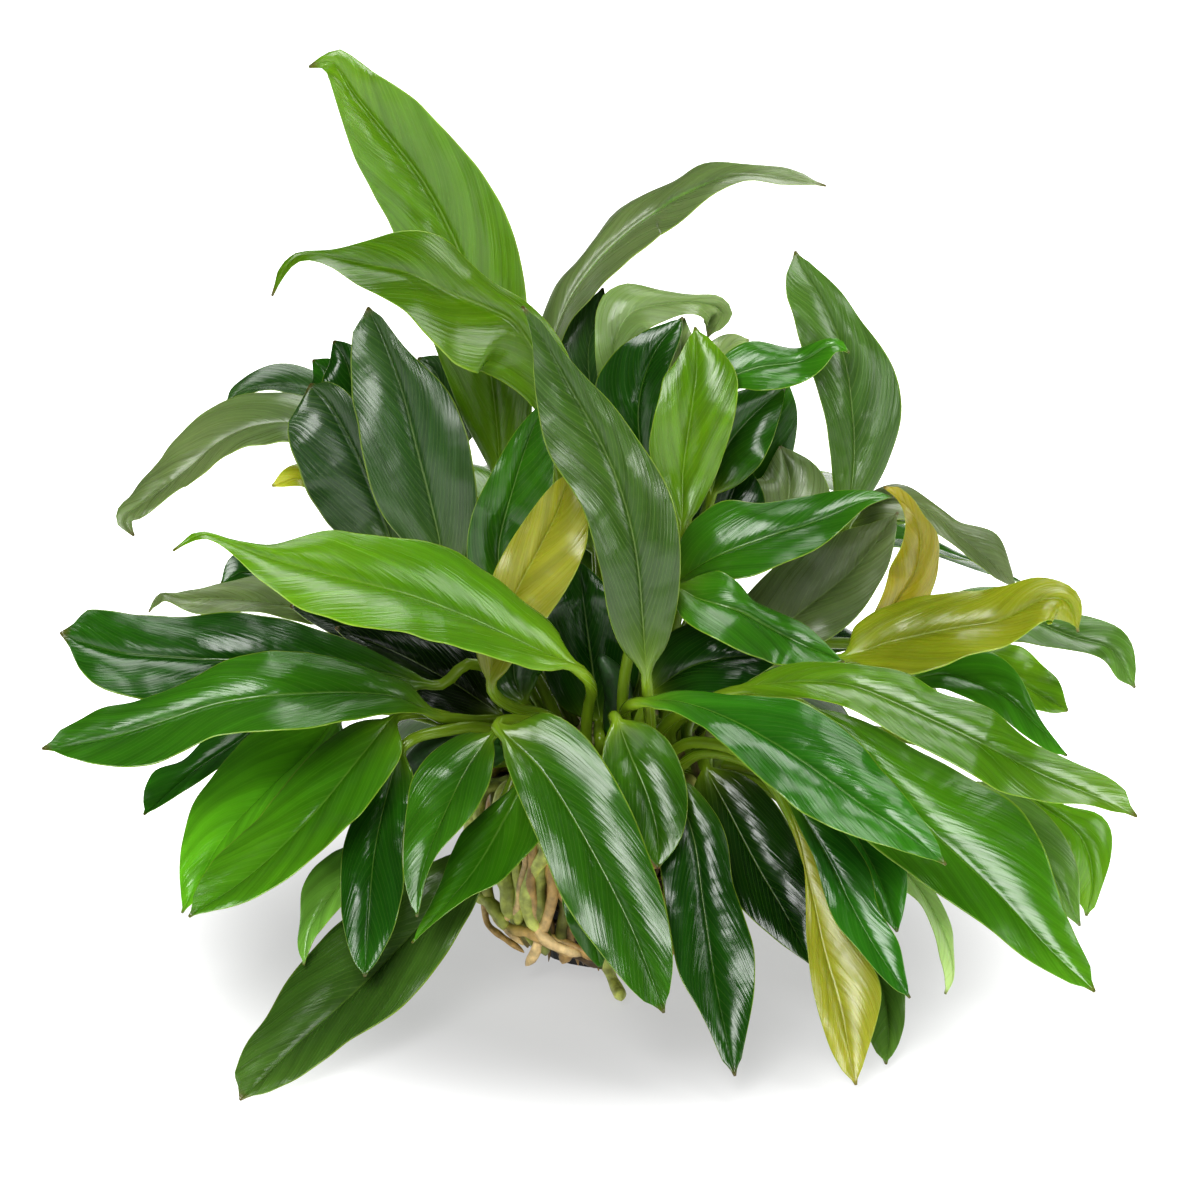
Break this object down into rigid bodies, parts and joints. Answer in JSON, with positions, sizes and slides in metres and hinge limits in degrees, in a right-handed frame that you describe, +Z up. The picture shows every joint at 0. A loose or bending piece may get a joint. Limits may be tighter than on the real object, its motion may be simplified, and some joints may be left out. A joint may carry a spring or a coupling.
{
  "type": "potted anubias plant",
  "caption": "Bushy anubias water plant with glossy arching leaves on a creeping rhizome, its roots grown over and round a small net pot that it stands on.",
  "frame": {"origin": "middle of the net pot's base, on the surface that it stands on", "axes": "+Z up, -Y to the plant's front, +X to the right as seen from the front"},
  "size_m": [0.3803, 0.3136, 0.3138],
  "materials": {
    "pot_plastic": "satin",
    "medium_wool": "matte",
    "rhizome_roots": "satin",
    "leaf_dark": "gloss",
    "leaf_mid": "gloss",
    "leaf_bright": "gloss",
    "leaf_lime": "gloss",
    "leaf_yellow": "satin",
    "leaf_grey": "satin",
    "leaf_pale": "satin"
  },
  "bodies": {
    "root": {"growing_medium": "medium_wool", "leaf_back_left_c": "leaf_grey", "leaf_bright_mid": "leaf_bright", "leaf_centre_big": "leaf_dark", "leaf_dark_mid_up": "leaf_dark", "leaf_far_left_arch": "leaf_grey", "leaf_floor_left": "leaf_dark", "leaf_folded_top": "leaf_pale", "leaf_front_centre": "leaf_mid", "leaf_front_left_small": "leaf_mid", "leaf_front_left_under": "leaf_bright", "leaf_front_small": "leaf_mid", "leaf_inner_dark_mid": "leaf_dark", "leaf_inner_left_green": "leaf_mid", "leaf_left_blunt": "leaf_dark", "leaf_left_bright": "leaf_bright", "leaf_left_curl_low": "leaf_mid", "leaf_left_dark_tip": "leaf_dark", "leaf_left_glossy": "leaf_bright", "leaf_left_long": "leaf_mid", "leaf_left_low_dark": "leaf_dark", "leaf_left_mid": "leaf_mid", "leaf_left_upright_dark": "leaf_grey", "leaf_low_mid_glossy": "leaf_dark", "leaf_low_right_dark": "leaf_dark", "leaf_right_arch_small": "leaf_mid", "leaf_right_big": "leaf_mid", "leaf_right_bright_long": "leaf_bright", "leaf_right_dark_fold": "leaf_dark", "leaf_right_dark_under": "leaf_dark", "leaf_right_far": "leaf_mid", "leaf_right_front_glossy": "leaf_dark", "leaf_right_glossy_dark": "leaf_dark", "leaf_right_mid_long": "leaf_mid", "leaf_right_small_over": "leaf_dark", "leaf_right_yellow_up": "leaf_yellow", "leaf_right_yellowgreen": "leaf_lime", "leaf_root_leaf": "leaf_mid", "leaf_tall_left_dark": "leaf_grey", "leaf_tall_right": "leaf_mid", "leaf_top_left_arch": "leaf_bright", "leaf_top_right_grey": "leaf_grey", "leaf_top_tall": "leaf_bright", "leaf_yellow_centre": "leaf_yellow", "leaf_yellow_low": "leaf_yellow", "net_pot": "pot_plastic", "rhizome_and_roots": "rhizome_roots", "shoot_back_low_left": "leaf_dark", "shoot_back_mid": "leaf_dark", "shoot_back_mid_left": "leaf_dark", "shoot_back_right": "leaf_dark", "shoot_back_side": "leaf_dark", "shoot_inner_left": "leaf_dark", "shoot_inner_right": "leaf_dark", "shoot_left_behind": "leaf_grey", "shoot_low_mid": "leaf_dark", "shoot_low_right": "leaf_mid", "shoot_right_far": "leaf_mid", "shoot_right_low": "leaf_bright", "shoot_top_mid": "leaf_grey"}
  },
  "joints": []
}
